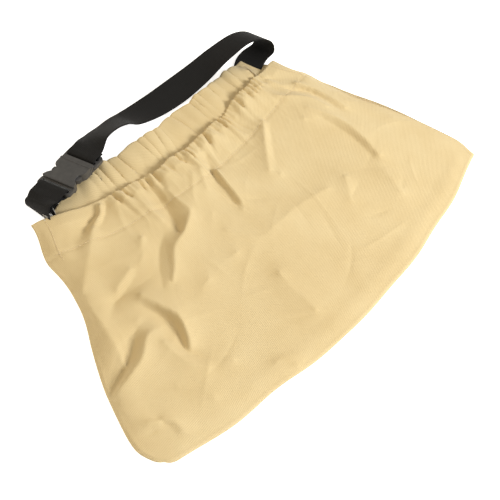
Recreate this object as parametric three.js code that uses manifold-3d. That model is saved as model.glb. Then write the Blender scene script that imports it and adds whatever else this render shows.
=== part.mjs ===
// Fruit picking bag: a fan-shaped canvas waist bag with an elasticated mouth, a webbing belt
// and a side-release buckle, lying flat on its back panel.
// Millimetres. +X runs along the mouth, +Y from the bottom edge to the mouth, +Z up.
// The origin is on the underside of the back panel, midway between mouth and bottom edge.
import * as THREE from "three";
import { mergeVertices } from "three/addons/utils/BufferGeometryUtils.js";
import Module from "manifold-3d";

const wasm = await Module();
wasm.setup();

// ---- driving dimensions -------------------------------------------------------------------
const GAP = 0.3; // clearance between touching pieces
const CANVAS = 1.2; // canvas thickness
const MOUTH_Y = 170; // the corner-to-corner line of the mouth
const CORNER_DROP = 300; // from that line to the bottom corners
const BOTTOM_BULGE = 41; // how far the bottom edge curves past its corners
const HALF_BOTTOM = 304; // half the width between the bottom corners
const MOUTH_LEAN = -9; // the gathered mouth sits a little to the left of the bottom
const FRONT_SIDES = [214, 236, 247, 271, 296, 307, HALF_BOTTOM]; // half widths, mouth to bottom
const BACK_SIDES = [190, 226, 245, 271, 296, 307, HALF_BOTTOM];
const SIDE_STOPS = [0, 0.16, 0.34, 0.53, 0.72, 0.88, 1]; // where they lie down the panel
const FRONT_SAG = 36; // how far the front hem's middle dips below the corner line
const BACK_RISE = 17; // how far the back hem's middle stands above it
const BACK_SLOPE = 0.065; // and how much more for each millimetre to the right
const CASING = 50; // depth of the hem casings
const CASING_GAP = 2.6; // room inside a casing
const CASING_INSET = 14; // the folded layer stops this far short of the side seams
const ELASTIC = { width: 34, thickness: 1.4 };
const SEAM = { width: 8, thickness: 1.6, inset: 6 };
const FRONT_EDGE_Z = 4; // middle of the front panel's canvas at the side and bottom seams
const CORNER_LIFT = 10; // how much higher the front panel's corners stand at the mouth
const CROWN = 16; // how much higher its middle stands
const WEBBING = { width: 40, thickness: 1.6 };
const PLASTIC_RADIUS = 1.2;
const FRONT_SAG_POWER = 7; // how late towards its ends the hem rises

const COLOURS = { canvas: 0xdfc48a, elastic: 0xf0ece2, thread: 0xd8bd84, webbing: 0x1d1d1c, plastic: 0x4a4948 };

// ---- small tools --------------------------------------------------------------------------
const vec = (x, y, z) => new THREE.Vector3(x, y, z);

function piece(name, geometry, colour, roughness) {
  const material = new THREE.MeshStandardMaterial({ color: colour, roughness, metalness: 0 });
  const mesh = new THREE.Mesh(geometry, material);
  mesh.name = name;
  return mesh;
}

// Reads a value from a row of values that stand at given stops, on a smooth curve.
function along(values, stops, at) {
  let k = 1;
  while (k < stops.length - 1 && at > stops[k]) k += 1;
  const local = (at - stops[k - 1]) / (stops[k] - stops[k - 1]);
  const points = [k - 2, k - 1, k, k + 1].map((i) => values[Math.min(Math.max(i, 0), values.length - 1)]);
  const [a, b, c, d] = points;
  const slopeIn = (c - a) / 2;
  const slopeOut = (d - b) / 2;
  const t2 = local * local;
  const t3 = t2 * local;
  return (2 * t3 - 3 * t2 + 1) * b + (t3 - 2 * t2 + local) * slopeIn
    + (3 * t2 - 2 * t3) * c + (t3 - t2) * slopeOut;
}

// A closed sheet: a box whose X and Y follow the surface and whose Z is the thickness.
function sheet(columns, rows, thickness, surface) {
  const geometry = new THREE.BoxGeometry(1, 1, 1, columns, rows, 1);
  const position = geometry.attributes.position;
  const step = 1e-4;
  for (let i = 0; i < position.count; i += 1) {
    const u = position.getX(i) + 0.5;
    const v = position.getY(i) + 0.5;
    const side = position.getZ(i);
    const alongU = surface(Math.min(u + step, 1), v).sub(surface(Math.max(u - step, 0), v));
    const alongV = surface(u, Math.min(v + step, 1)).sub(surface(u, Math.max(v - step, 0)));
    const normal = alongU.cross(alongV).normalize();
    const point = surface(u, v).addScaledVector(normal, side * thickness);
    position.setXYZ(i, point.x, point.y, point.z);
  }
  geometry.computeVertexNormals();
  return geometry;
}

function solid(geometry) {
  const bare = geometry.index ? geometry.toNonIndexed() : geometry.clone();
  bare.deleteAttribute("normal");
  bare.deleteAttribute("uv");
  const welded = mergeVertices(bare, 1e-4);
  const mesh = new wasm.Mesh({
    numProp: 3,
    vertProperties: new Float32Array(welded.attributes.position.array),
    triVerts: new Uint32Array(welded.index.array),
  });
  return new wasm.Manifold(mesh);
}

function fromSolid(manifold) {
  const mesh = manifold.getMesh();
  const geometry = new THREE.BufferGeometry();
  geometry.setAttribute("position", new THREE.BufferAttribute(new Float32Array(mesh.vertProperties), 3));
  geometry.setIndex(new THREE.BufferAttribute(new Uint32Array(mesh.triVerts), 1));
  geometry.computeVertexNormals();
  return geometry;
}

// ---- canvas panels ------------------------------------------------------------------------
const smooth = (t) => {
  const s = Math.min(Math.max(t, 0), 1);
  return s * s * (3 - 2 * s);
};

const frontMouth = (x) => MOUTH_Y - FRONT_SAG * (1 - Math.abs((x - MOUTH_LEAN) / FRONT_SIDES[0]) ** FRONT_SAG_POWER);
const backMouth = (x) => MOUTH_Y + BACK_RISE + BACK_SLOPE * x;
const bottomEdge = (x) => MOUTH_Y - CORNER_DROP - BOTTOM_BULGE * (1 - (x / HALF_BOTTOM) ** 2);

// A place on a panel: its threads fan out from the mouth to the bottom edge. Side to side, share
// runs from -1 to 1 less the inset, and down runs from 0 at the mouth to 1 at the bottom.
function onPanel(sides, mouth, share, down, inset = 0) {
  const half = along(sides, SIDE_STOPS, down);
  const across = share * (1 - inset / half);
  const top = mouth(MOUTH_LEAN + across * sides[0]);
  const depth = top - bottomEdge(across * HALF_BOTTOM);
  return { x: MOUTH_LEAN * (1 - down) + across * half, y: top - depth * down, depth, across };
}

// Height of the middle of the front panel's canvas.
function frontHeight(across, down) {
  const edge = FRONT_EDGE_Z + CORNER_LIFT * (1 - smooth(down / 0.2));
  const crown = CROWN * (1 - down ** 8) * (1 - 0.25 * down);
  return edge + crown * (1 - Math.abs(across) ** 6);
}

// The section of a panel from its bottom edge up to the mouth, over the fold and down inside the
// casing: [share of the depth, drop below the fold, step towards the inside, inset] at each row.
function panelSection(rows) {
  const turn = (CASING_GAP + CANVAS) / 2;
  const section = [];
  for (let i = 0; i <= rows; i += 1) section.push([1 - i / (rows + 1), 0, 0, 0]);
  for (const degrees of [0, 45, 90, 135, 180]) {
    const a = (degrees * Math.PI) / 180;
    section.push([0, turn * (1 - Math.sin(a)), turn * (1 - Math.cos(a)), (CASING_INSET * degrees) / 180]);
  }
  section.push([0, CASING / 2, 2 * turn, CASING_INSET]);
  section.push([0, CASING - 4, 2 * turn, CASING_INSET]);
  section.push([0, CASING, CANVAS + GAP, CASING_INSET]);
  return section;
}

function panel(columns, rows, sides, mouth, height, inward) {
  const section = panelSection(rows);
  const surface = (u, v) => {
    const place = v * (section.length - 1);
    const k = Math.min(Math.floor(place), section.length - 2);
    const mix = section[k].map((value, i) => value + (section[k + 1][i] - value) * (place - k));
    const share = (2 * u - 1) * inward;
    const down = mix[0] + mix[1] / onPanel(sides, mouth, share, mix[0], mix[3]).depth;
    const spot = onPanel(sides, mouth, share, down, mix[3]);
    return vec(spot.x, spot.y, height(spot.across, down) + inward * mix[2]);
  };
  return sheet(columns, section.length - 1, CANVAS, surface);
}

const backPanel = panel(24, 9, BACK_SIDES, backMouth, () => CANVAS / 2, 1);
const frontPanel = panel(36, 12, FRONT_SIDES, frontMouth, frontHeight, -1);

// An elastic band inside a casing, between the two layers of canvas.
function elastic(sides, mouth, height, reach) {
  const middle = CASING / 2 - 1;
  const surface = (u, v) => {
    const share = (2 * u - 1) * reach;
    const down = (middle + (0.5 - v) * ELASTIC.width) / onPanel(sides, mouth, share, 0).depth;
    const spot = onPanel(sides, mouth, share, down);
    return vec(spot.x, spot.y, height(spot.across, down));
  };
  return sheet(36, 2, ELASTIC.thickness, surface);
}

const CASING_MIDDLE = (CASING_GAP + CANVAS) / 2;
const backElastic = elastic(BACK_SIDES, backMouth, () => CANVAS / 2 + CASING_MIDDLE, 0.72);
const frontElastic = elastic(
  FRONT_SIDES, frontMouth, (across, down) => frontHeight(across, down) - CASING_MIDDLE, 0.9,
);

// Overlocked seam allowances between the two panels, along each side and the bottom.
const SEAM_Z = CANVAS + GAP + SEAM.thickness / 2;

function sideSeam(hand) {
  const surface = (u, v) => {
    const down = 0.2 + 0.76 * (hand > 0 ? 1 - u : u);
    const spot = onPanel(BACK_SIDES, backMouth, hand, down, SEAM.inset + (v - 0.5) * SEAM.width);
    return vec(spot.x, spot.y, SEAM_Z);
  };
  return sheet(16, 1, SEAM.thickness, surface);
}

function bottomSeam() {
  const surface = (u, v) => {
    const x = (2 * u - 1) * (HALF_BOTTOM - SEAM.inset);
    return vec(x, bottomEdge(x) + SEAM.inset + (v - 0.5) * SEAM.width, SEAM_Z);
  };
  return sheet(32, 1, SEAM.thickness, surface);
}

// ---- buckle, built in its own frame: X out of the socket, Y across, Z up -------------------
const BUCKLE = { x: -142.5, y: MOUTH_Y + 25, z: 13.5, yaw: 12.8, tilt: -11.5 };
const SOCKET = { mouth: 18, back: -18.5, half: 22, thickness: 10.4, room: 6.6, roomHalf: 18.4, roomBack: -13 };
const LOOP = { slotIn: -20.5, slotOut: -26.5, end: -30.5, half: 24, slotHalf: 20.8, thickness: 4.4 };
const INSERT = { start: 18.4, end: 41, half: 24, thickness: 9, railThickness: 4.4, slotHalf: 20.8 };
const LATCH = { root: 18.1, tip: -8.5, shoulder: 1.2, inner: 12.4, outer: 20.4, thickness: 5.6 };

const deg = (value) => (value * Math.PI) / 180;
const buckleMatrix = new THREE.Matrix4()
  .makeTranslation(BUCKLE.x, BUCKLE.y, BUCKLE.z)
  .multiply(new THREE.Matrix4().makeRotationZ(deg(BUCKLE.yaw)))
  .multiply(new THREE.Matrix4().makeRotationX(deg(BUCKLE.tilt)));

// A plate whose outline lies in X and Y, centred on Z = 0.
function plate(outline, thickness, bevel = 0) {
  const geometry = new THREE.ExtrudeGeometry(outline, {
    depth: thickness - 2 * bevel, bevelEnabled: bevel > 0, bevelSize: bevel, bevelThickness: bevel,
    bevelOffset: -bevel, bevelSegments: 1, curveSegments: 6,
  });
  geometry.translate(0, 0, bevel - thickness / 2);
  return solid(geometry);
}

function rectangle(x0, x1, y0, y1) {
  return new THREE.Shape([[x0, y0], [x1, y0], [x1, y1], [x0, y1]].map(([x, y]) => new THREE.Vector2(x, y)));
}

function mirrored(points) {
  const far = points.map(([x, y]) => new THREE.Vector2(x, y));
  const near = points.map(([x, y]) => new THREE.Vector2(x, -y)).reverse();
  return new THREE.Shape([...near, ...far]);
}

// Socket: a flat box with concave sides that leave the latch buttons free, and a webbing loop.
function socketShape() {
  const waist = SOCKET.half - 5.5;
  const body = mirrored([
    [SOCKET.mouth, SOCKET.half - 1], [SOCKET.mouth - 1, SOCKET.half], [6.5, SOCKET.half], [3.5, SOCKET.half - 2],
    [0, waist], [-6, waist], [-9, SOCKET.half - 2.5], [-12, SOCKET.half], [SOCKET.back, SOCKET.half + 1],
  ]);
  const loop = mirrored([
    [-14, LOOP.half - 3], [-19, LOOP.half], [LOOP.end + 3, LOOP.half], [LOOP.end, LOOP.half - 3],
  ]);
  const room = rectangle(SOCKET.roomBack, SOCKET.mouth + 1, -SOCKET.roomHalf, SOCKET.roomHalf);
  const slot = rectangle(LOOP.slotOut, LOOP.slotIn, -LOOP.slotHalf, LOOP.slotHalf);
  return plate(body, SOCKET.thickness, PLASTIC_RADIUS)
    .add(plate(loop, LOOP.thickness, 0.8))
    .subtract(plate(room, SOCKET.room))
    .subtract(plate(slot, SOCKET.thickness + 2));
}

// Insert: the base that closes the socket, its guide tongue and the two-slot webbing ladder.
function insertShape() {
  const { start, end, half } = INSERT;
  const base = mirrored([[start + 5, 22], [start + 0.8, 22], [start, 21]].reverse());
  const frame = mirrored([[start + 2, half - 2], [start + 4, half], [end - 3, half], [end, half - 3]].reverse());
  const tongue = mirrored([[-5, 2.2], [-3, 3.6], [start + 1, 3.6]].reverse());
  const firstSlot = rectangle(start + 5, start + 10.4, -INSERT.slotHalf, INSERT.slotHalf);
  const secondSlot = rectangle(start + 13.8, end - 3, -INSERT.slotHalf, INSERT.slotHalf);
  return plate(base, INSERT.thickness, 0.8)
    .add(plate(frame, INSERT.railThickness, 0.8))
    .add(plate(tongue, 3.2))
    .subtract(plate(firstSlot, INSERT.thickness + 2))
    .subtract(plate(secondSlot, INSERT.thickness + 2));
}

// Latch: a springy arm whose head fills the socket's waist and catches behind its side wall.
function latchShape(hand) {
  const { root, tip, shoulder, inner, outer } = LATCH;
  const points = [
    [root, inner + 1.2], [root, inner + 4.2], [shoulder + 0.6, inner + 3.4], [shoulder, outer],
    [shoulder - 6, outer], [tip, inner + 3], [tip, inner], [tip + 4, inner - 0.8], [shoulder, inner + 0.8],
  ];
  const outline = new THREE.Shape(points.map(([x, y]) => new THREE.Vector2(x, y * hand)));
  return plate(outline, LATCH.thickness, 0.5);
}

function bucklePiece(name, manifold) {
  const mesh = piece(name, fromSolid(manifold), COLOURS.plastic, 0.45);
  mesh.applyMatrix4(buckleMatrix);
  return mesh;
}

// ---- webbing ------------------------------------------------------------------------------
// A flat strap through stations [x, y, z, width direction x, y, z], its middle on a smooth curve.
function strap(stations, stepsEach) {
  const middle = new THREE.CatmullRomCurve3(stations.map(([x, y, z]) => vec(x, y, z)));
  const width = new THREE.CatmullRomCurve3(stations.map(([, , , a, b, c]) => vec(a, b, c)));
  const steps = (stations.length - 1) * stepsEach;
  const surface = (u, v) => {
    const across = width.getPoint(u).normalize();
    return middle.getPoint(u).addScaledVector(across, (v - 0.5) * WEBBING.width);
  };
  return sheet(steps, 2, WEBBING.thickness, surface);
}

// Stations in the buckle's frame, for a strap that lies square in a slot: [x, z].
function inBuckle(points) {
  const across = vec(0, 1, 0).transformDirection(buckleMatrix);
  return points.map(([x, z]) => {
    const p = vec(x, 0, z).applyMatrix4(buckleMatrix);
    return [p.x, p.y, p.z, across.x, across.y, across.z];
  });
}

// The long strap is threaded round the ladder's middle bar with its tail held under the load side,
// stands on edge behind the back hem, lies flat along its middle and curls over into the casing.
const longStrap = [
  ...inBuckle([
    [66, 3.2], [52, 3.3], [44, 3.6], [38.5, 3.6], [35, 1.2], [34.2, -1.2], [32, -4], [29, -4.1],
    [26.2, -2.6], [25.8, 1], [26.6, 4.6], [30, 6], [36, 6.3], [43, 6.6],
  ]),
  [-81, 44, 19, -0.21, 0.83, -0.51], [-61, 47, 17, -0.17, 0.81, -0.55], [-41, 48, 14, -0.12, 0.88, -0.46],
  [-23, 47, 8, -0.03, 0.96, -0.26], [18, 46, 3.5, 0, 1, 0], [60, 45, 6, 0, 0.99, 0.13],
  [100, 44, 14, 0.05, 1, 0], [139, 42, 28, 0.14, 0.97, -0.2], [179, 38, 40, 0.18, 0.93, -0.33],
  [199, 32, 37, 0.14, 0.9, -0.42], [211, 26, 27, 0.05, 0.9, -0.43], [206, 22, 16, -0.15, 0.95, -0.2],
  [200, 15, 6, -0.2, 0.98, -0.05], [190, 8, 2.5, -0.15, 0.98, 0], [177, 4, 2.5, -0.05, 0.99, 0],
  [160, 2.8, 2.5, 0, 1, 0],
].map((station, i) => (i < 14 ? station : [station[0], station[1] + MOUTH_Y, ...station.slice(2)]));

// The short strap is sewn into the casing's left end, folds over and loops round the socket's bar.
const shortStrap = [
  ...inBuckle([
    [-47, 1.6], [-38, 0.2], [-33, -2.6], [-28.5, -4.2], [-24.6, -3.6], [-23.4, 0], [-24.6, 3.4], [-28.5, 4.4],
    [-36, 4.2], [-46, 3.9],
  ]),
  [-197, 14, 13.5, -0.15, 0.94, -0.3], [-207, 12, 11.5, 0, 0.97, -0.25], [-211, 7, 7.5, 0.15, 0.97, -0.1],
  [-208, -8, 3, 0.3, 0.95, 0], [-198, -20, 2.5, 0.5, 0.86, 0], [-187, -23, 2.5, 0.55, 0.83, 0],
].map((station, i) => (i < 10 ? station : [station[0], station[1] + MOUTH_Y, ...station.slice(2)]));

// A bar tack of thread over the casing, where a strap's end is sewn in.
function tack(x, y) {
  const outline = rectangle(-1.5, 1.5, -15, 15);
  const geometry = new THREE.ExtrudeGeometry(outline, { depth: 0.8, bevelEnabled: false });
  const mesh = piece(x < 0 ? "left_strap_tack" : "right_strap_tack", geometry, COLOURS.thread, 0.9);
  mesh.position.set(x, y, 2 * CANVAS + CASING_GAP + GAP);
  return mesh;
}

// ---- assembly -----------------------------------------------------------------------------
const bag = new THREE.Group();
bag.add(piece("back_panel", backPanel, COLOURS.canvas, 0.9));
bag.add(piece("front_panel", frontPanel, COLOURS.canvas, 0.9));
bag.add(piece("back_elastic", backElastic, COLOURS.elastic, 0.8));
bag.add(piece("front_elastic", frontElastic, COLOURS.elastic, 0.8));
bag.add(piece("left_seam", sideSeam(-1), COLOURS.thread, 0.9));
bag.add(piece("right_seam", sideSeam(1), COLOURS.thread, 0.9));
bag.add(piece("bottom_seam", bottomSeam(), COLOURS.thread, 0.9));
bag.add(piece("long_strap", strap(longStrap, 3), COLOURS.webbing, 0.8));
bag.add(piece("short_strap", strap(shortStrap, 3), COLOURS.webbing, 0.8));
bag.add(tack(-188, backMouth(-188) - CASING / 2 + 1));
bag.add(tack(168, backMouth(168) - CASING / 2 + 1));
bag.add(bucklePiece("buckle_socket", socketShape()));
bag.add(bucklePiece("buckle_insert", insertShape()));
bag.add(bucklePiece("near_latch", latchShape(-1)));
bag.add(bucklePiece("far_latch", latchShape(1)));

export default bag;
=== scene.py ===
"""A canvas fruit picking bag, lying flat: gathered cloth panels, webbing belt and buckle."""

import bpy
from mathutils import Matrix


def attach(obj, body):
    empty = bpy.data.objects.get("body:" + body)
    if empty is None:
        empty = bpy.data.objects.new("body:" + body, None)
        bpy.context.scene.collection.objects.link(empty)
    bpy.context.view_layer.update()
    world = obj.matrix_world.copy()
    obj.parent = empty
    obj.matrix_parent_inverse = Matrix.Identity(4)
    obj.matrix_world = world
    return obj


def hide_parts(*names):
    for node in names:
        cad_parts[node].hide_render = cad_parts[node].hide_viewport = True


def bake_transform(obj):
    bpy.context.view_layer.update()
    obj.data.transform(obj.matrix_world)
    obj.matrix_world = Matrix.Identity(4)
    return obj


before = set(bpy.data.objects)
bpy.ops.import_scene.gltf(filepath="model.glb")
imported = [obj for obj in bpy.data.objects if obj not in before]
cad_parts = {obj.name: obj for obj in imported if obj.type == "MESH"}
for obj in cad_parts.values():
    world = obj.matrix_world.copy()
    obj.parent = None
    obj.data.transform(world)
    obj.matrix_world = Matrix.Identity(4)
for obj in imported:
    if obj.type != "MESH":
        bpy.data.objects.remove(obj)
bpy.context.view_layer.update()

import math

import bmesh
import bpy
import numpy as np
from mathutils import Matrix, Vector

MM = 0.001

# ---- driving dimensions, in millimetres ----
# The outline is near the CAD's, but not the same: it is twisted, and has a seam allowance and a notch.
CANVAS = 1.0
MOUTH_Y = 170.0
CORNER_DROP = 300.0
BOTTOM_BULGE = 41.0
HALF_BOTTOM = 304.0
MOUTH_LEAN = -9.0
FRONT_SIDES = (214, 236, 247, 271, 296, 307, HALF_BOTTOM)
BACK_SIDES = (181, 222, 244, 271, 296, 307, HALF_BOTTOM)
SIDE_STOPS = (0, 0.16, 0.34, 0.53, 0.72, 0.88, 1)
FRONT_MOUTH_X = (-223, -190, -160, -120, -60, 0, 72, 111, 143, 178, 205)
FRONT_MOUTH = (168, 156, 146, 137.5, 130.5, 132, 141, 150, 156, 160, 165)   # y of the front hem's edge
BACK_MOUTH_X = (-199, -171, -132, -93, -44, 46, 98, 160, 181)
BACK_MOUTH = (166, 176, 183, 180, 176, 184, 187, 195, 199)                  # and of the back hem's
SIDE_DRIFT = (4, 8, 9, 5, 0, -2, 0)   # how far the bag lies twisted to the right on its way down
SEAM_STAND = 4.0        # the bottom seam's allowance stands this far past the seam
NOTCH_X, NOTCH_REACH = -160.0, 45.0   # where the seam is pulled in, and how far along
CORNER_ROUND = 15.0     # the left bottom corner is turned over this far
CASING = 50.0
FOLD_RADIUS = 1.9       # of the hem's fold: half the room inside a casing
CLOTH_WIDTH = 610.0     # the cut panel, before its mouth was gathered
CLOTH_DEPTH = 312.0     # and from the hem's fold to the bottom seam

# Seeds of everything that wanders, so that each run gives the same bag.
SIDE_SEED, BOTTOM_SEED = 61, 62
SWELL_SEED, SAG_SEED = 5, 6
FRONT_PLEAT_SEED, RUFFLE_SEED, FRONT_HEM_SEED = 11, 41, 21
BACK_PLEAT_SEED, BACK_SAG_SEED, BACK_HEM_SEED = 31, 33, 35
WRINKLE_SEED, THREAD_SEED = 19, 7


# ---- small tools ----
def smooth(t):
    """A soft step from 0 at t = 0 to 1 at t = 1."""
    s = np.clip(t, 0, 1)
    return s * s * (3 - 2 * s)


def along(values, stops, at):
    """Reads a smooth curve through values that stand at stops."""
    values, stops, at = (np.asarray(a, float) for a in (values, stops, at))
    k = np.clip(np.searchsorted(stops, at, side="left"), 1, len(stops) - 1)
    t = (at - stops[k - 1]) / (stops[k] - stops[k - 1])
    a, b, c, d = (values[np.clip(k + i, 0, len(values) - 1)] for i in (-2, -1, 0, 1))
    slope_in, slope_out = (c - a) / 2, (d - b) / 2
    return ((2 * t**3 - 3 * t**2 + 1) * b + (t**3 - 2 * t**2 + t) * slope_in
            + (3 * t**2 - 2 * t**3) * c + (t**3 - t**2) * slope_out)


def wander(x, seed, wavelength):
    """A smooth wandering value between about -1 and 1 along x."""
    rng = np.random.default_rng(seed)
    total = np.zeros_like(np.asarray(x, float))
    for k in range(5):
        pitch = wavelength * rng.uniform(0.6, 1.7)
        total += np.sin(2 * np.pi * (np.asarray(x) / pitch + rng.uniform())) / 2.4
    return total


def centripetal(points, steps):
    """A centripetal Catmull-Rom curve through points, with so many steps from each to the next."""
    p = np.asarray(points, float)
    p = np.vstack([2 * p[0] - p[1], p, 2 * p[-1] - p[-2]])
    out = []
    for a, b, c, d in zip(p[:-3], p[1:-2], p[2:-1], p[3:]):
        pairs = ((b, a), (c, b), (d, c))
        before, here, after = (max(np.linalg.norm(q - r), 1e-4) ** 0.5 for q, r in pairs)
        start = here * ((b - a) / before - (c - a) / (before + here) + (c - b) / here)
        end = here * ((c - b) / here - (d - b) / (here + after) + (d - c) / after)
        for t in np.arange(steps) / steps:
            out.append((2 * t**3 - 3 * t**2 + 1) * b + (t**3 - 2 * t**2 + t) * start
                       + (3 * t**2 - 2 * t**3) * c + (t**3 - t**2) * end)
    out.append(p[-2])
    return np.array(out)


def front_mouth(x):
    return along(FRONT_MOUTH, FRONT_MOUTH_X, x)


def back_mouth(x):
    return along(BACK_MOUTH, BACK_MOUTH_X, x)


def bottom_edge(x):
    stand = SEAM_STAND * (1 - np.exp(-((x - NOTCH_X) / NOTCH_REACH) ** 2))
    return MOUTH_Y - CORNER_DROP - BOTTOM_BULGE * (1 - (x / HALF_BOTTOM) ** 2) - stand


def rounded_corner(x, y):
    """Draws the left bottom corner in from a square to a quarter circle."""
    out = np.maximum(CORNER_ROUND - HALF_BOTTOM - x, 0)
    low = np.maximum(MOUTH_Y - CORNER_DROP - SEAM_STAND + CORNER_ROUND - y, 0)
    shrink = 1 - np.maximum(out, low) / np.maximum(np.hypot(out, low), 1e-9)
    inside = (out > 0) & (low > 0)
    return x + np.where(inside, out * shrink, 0), y + np.where(inside, low * shrink, 0)


SIDE_WANDER, BOTTOM_WANDER = 1.2, 0.8   # how far the seams wander off their lines


def on_panel(sides, mouth, across, down):
    """A place on a panel: across runs -1 to 1 between its sides, down 0 to 1 from its mouth."""
    ragged = SIDE_WANDER * wander(down * 300, SIDE_SEED, 75)
    half = along(sides, SIDE_STOPS, down) + ragged * smooth(down / 0.2)
    top = mouth(MOUTH_LEAN + across * sides[0])
    bottom = bottom_edge(across * HALF_BOTTOM) + BOTTOM_WANDER * wander(across * 300, BOTTOM_SEED, 90)
    drift = MOUTH_LEAN * (1 - down) + along(SIDE_DRIFT, SIDE_STOPS, down)
    return rounded_corner(drift + across * half, top + (bottom - top) * down)


def mesh_object(name, mesh, *materials):
    """Smooth-shades a finished mesh and puts it in the scene as an object."""
    mesh.shade_smooth()
    for material in materials:
        mesh.materials.append(material)
    obj = bpy.data.objects.new(name, mesh)
    bpy.context.collection.objects.link(obj)
    return obj


def from_bmesh(name, shape, material):
    mesh = bpy.data.meshes.new(name)
    shape.to_mesh(mesh)
    shape.free()
    return mesh_object(name, mesh, material)


def evaluated(obj):
    """An object's own copy as its modifiers make it."""
    return obj.evaluated_get(bpy.context.evaluated_depsgraph_get())


def grid_mesh(name, points, uv=None, closed=False):
    """A mesh object from a rows x columns x 3 array of points in millimetres."""
    rows, columns = points.shape[:2]
    index = np.arange(rows * columns).reshape(rows, columns)
    if closed:
        index = np.hstack([index, index[:, :1]])
    corners = [index[:-1, :-1], index[:-1, 1:], index[1:, 1:], index[1:, :-1]]
    quads = np.stack(corners, -1).reshape(-1, 4)
    mesh = bpy.data.meshes.new(name)
    mesh.from_pydata((points.reshape(-1, 3) * MM).tolist(), [], quads.tolist())
    if uv is not None:
        layer = mesh.uv_layers.new(name="UVMap")
        loops = np.empty(len(mesh.loops), int)
        mesh.loops.foreach_get("vertex_index", loops)
        layer.data.foreach_set("uv", (uv.reshape(-1, 2)[loops] * MM).ravel())
    return mesh_object(name, mesh)


def normals(points):
    """Unit normals of a grid of points whose rows run down a panel: they point up."""
    across = np.gradient(points, axis=1)
    down = np.gradient(points, axis=0)
    n = np.cross(down, across)
    return n / np.maximum(np.linalg.norm(n, axis=-1, keepdims=True), 1e-9)


def modifier(obj, kind, **settings):
    m = obj.modifiers.new(kind.title(), kind)
    for key, value in settings.items():
        setattr(m, key, value)
    return m


def place(obj, body, slot, *nodes):
    """Puts a finished piece on its body, over the CAD nodes it stands for. The slot argument is not used.
    """
    if nodes:
        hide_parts(*nodes)
    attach(obj, body)
    return obj


# ---- materials ----
class Nodes:
    """Short forms for building one material's node tree."""

    def __init__(self, name, **sockets):
        self.material = bpy.data.materials.new(name)
        self.material.use_nodes = True
        self.tree = self.material.node_tree
        self.shader = self.tree.nodes["Principled BSDF"]
        for socket, value in sockets.items():
            self.shader.inputs[socket.replace("_", " ")].default_value = value

    def add(self, kind, **settings):
        """A new node. A setting whose name starts with a capital is an input, the rest properties."""
        node = self.tree.nodes.new(kind)
        for key, value in settings.items():
            if key[0].isupper():
                node.inputs[key].default_value = value
            else:
                setattr(node, key, value)
        return node

    def link(self, source, target):
        self.tree.links.new(source, target)

    def math(self, operation, a, b=0.0):
        node = self.add("ShaderNodeMath", operation=operation)
        for socket, value in zip(node.inputs, (a, b)):
            if isinstance(value, (int, float)):
                socket.default_value = value
            else:
                self.link(value, socket)
        return node.outputs[0]

    def plus(self, a, b):
        return self.math("ADD", a, b)

    def times(self, a, b):
        return self.math("MULTIPLY", a, b)

    def share(self, a, part, b):
        """A part of a, and the rest of b."""
        return self.plus(self.times(a, part), self.times(b, 1 - part))

    def surface(self, socket, source):
        self.link(source, self.shader.inputs[socket])

    def cloth(self):
        """The cloth's own coordinates in metres: as a vector, along and across it."""
        vector = self.add("ShaderNodeTexCoord").outputs["UV"]
        split = self.add("ShaderNodeSeparateXYZ")
        self.link(vector, split.inputs[0])
        return vector, split.outputs[0], split.outputs[1]

    def wave(self, distance, pitch):
        """A ripple from 0 to 1, one for every pitch of distance, both in metres."""
        turns = self.math("SINE", self.times(distance, 2 * math.pi / pitch))
        return self.plus(self.times(turns, 0.5), 0.5)

    def noise(self, vector, scale, detail=4.0, roughness=0.55):
        node = self.add("ShaderNodeTexNoise", Scale=scale, Detail=detail, Roughness=roughness)
        self.link(vector, node.inputs["Vector"])
        return node.outputs["Fac"]

    def ramp(self, factor, stops):
        node = self.add("ShaderNodeValToRGB")
        ramp = node.color_ramp
        while len(ramp.elements) < len(stops):
            ramp.elements.new(0.5)
        for element, (position, colour) in zip(ramp.elements, stops):
            element.position = position
            element.color = (*colour, 1)
        self.link(factor, node.inputs["Fac"])
        return node.outputs["Color"]

    def mix(self, factor, a, b, blend="MIX"):
        node = self.add("ShaderNodeMix", data_type="RGBA", blend_type=blend)
        for socket, value in zip((node.inputs[0], node.inputs[6], node.inputs[7]), (factor, a, b)):
            if isinstance(value, (int, float)):
                socket.default_value = value
            elif isinstance(value, tuple):
                socket.default_value = (*value, 1)
            else:
                self.link(value, socket)
        return node.outputs[2]

    def bump(self, height, distance, strength=1.0, under=None):
        node = self.add("ShaderNodeBump", Strength=strength, Distance=distance)
        self.link(height, node.inputs["Height"])
        if under is not None:
            self.link(under, node.inputs["Normal"])
        return node.outputs["Normal"]


# ---- camera, light and floor ----
TARGET = Vector((-0.0521, -0.0222, 0.0))
AZIMUTH, ELEVATION, ROLL = 62.59, 56.17, -16.82   # of the view, in degrees
DISTANCE = 0.8363
LENS, SENSOR = 50.4, 36   # in millimetres


def make_camera():
    az, el, roll = (math.radians(a) for a in (AZIMUTH, ELEVATION, ROLL))
    forward = Vector((math.sin(az) * math.cos(el), math.cos(az) * math.cos(el), -math.sin(el)))
    right = Vector((math.cos(az), -math.sin(az), 0))
    down = forward.cross(right)
    right, down = (math.cos(roll) * right + math.sin(roll) * down,
                   math.cos(roll) * down - math.sin(roll) * right)
    data = bpy.data.cameras.new("camera")
    data.lens = LENS
    data.sensor_width = SENSOR
    camera = bpy.data.objects.new("camera", data)
    bpy.context.collection.objects.link(camera)
    turn = Matrix((right, -down, -forward)).transposed()
    camera.matrix_world = Matrix.Translation(TARGET - forward * DISTANCE) @ turn.to_4x4()
    bpy.context.scene.camera = camera


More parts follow.
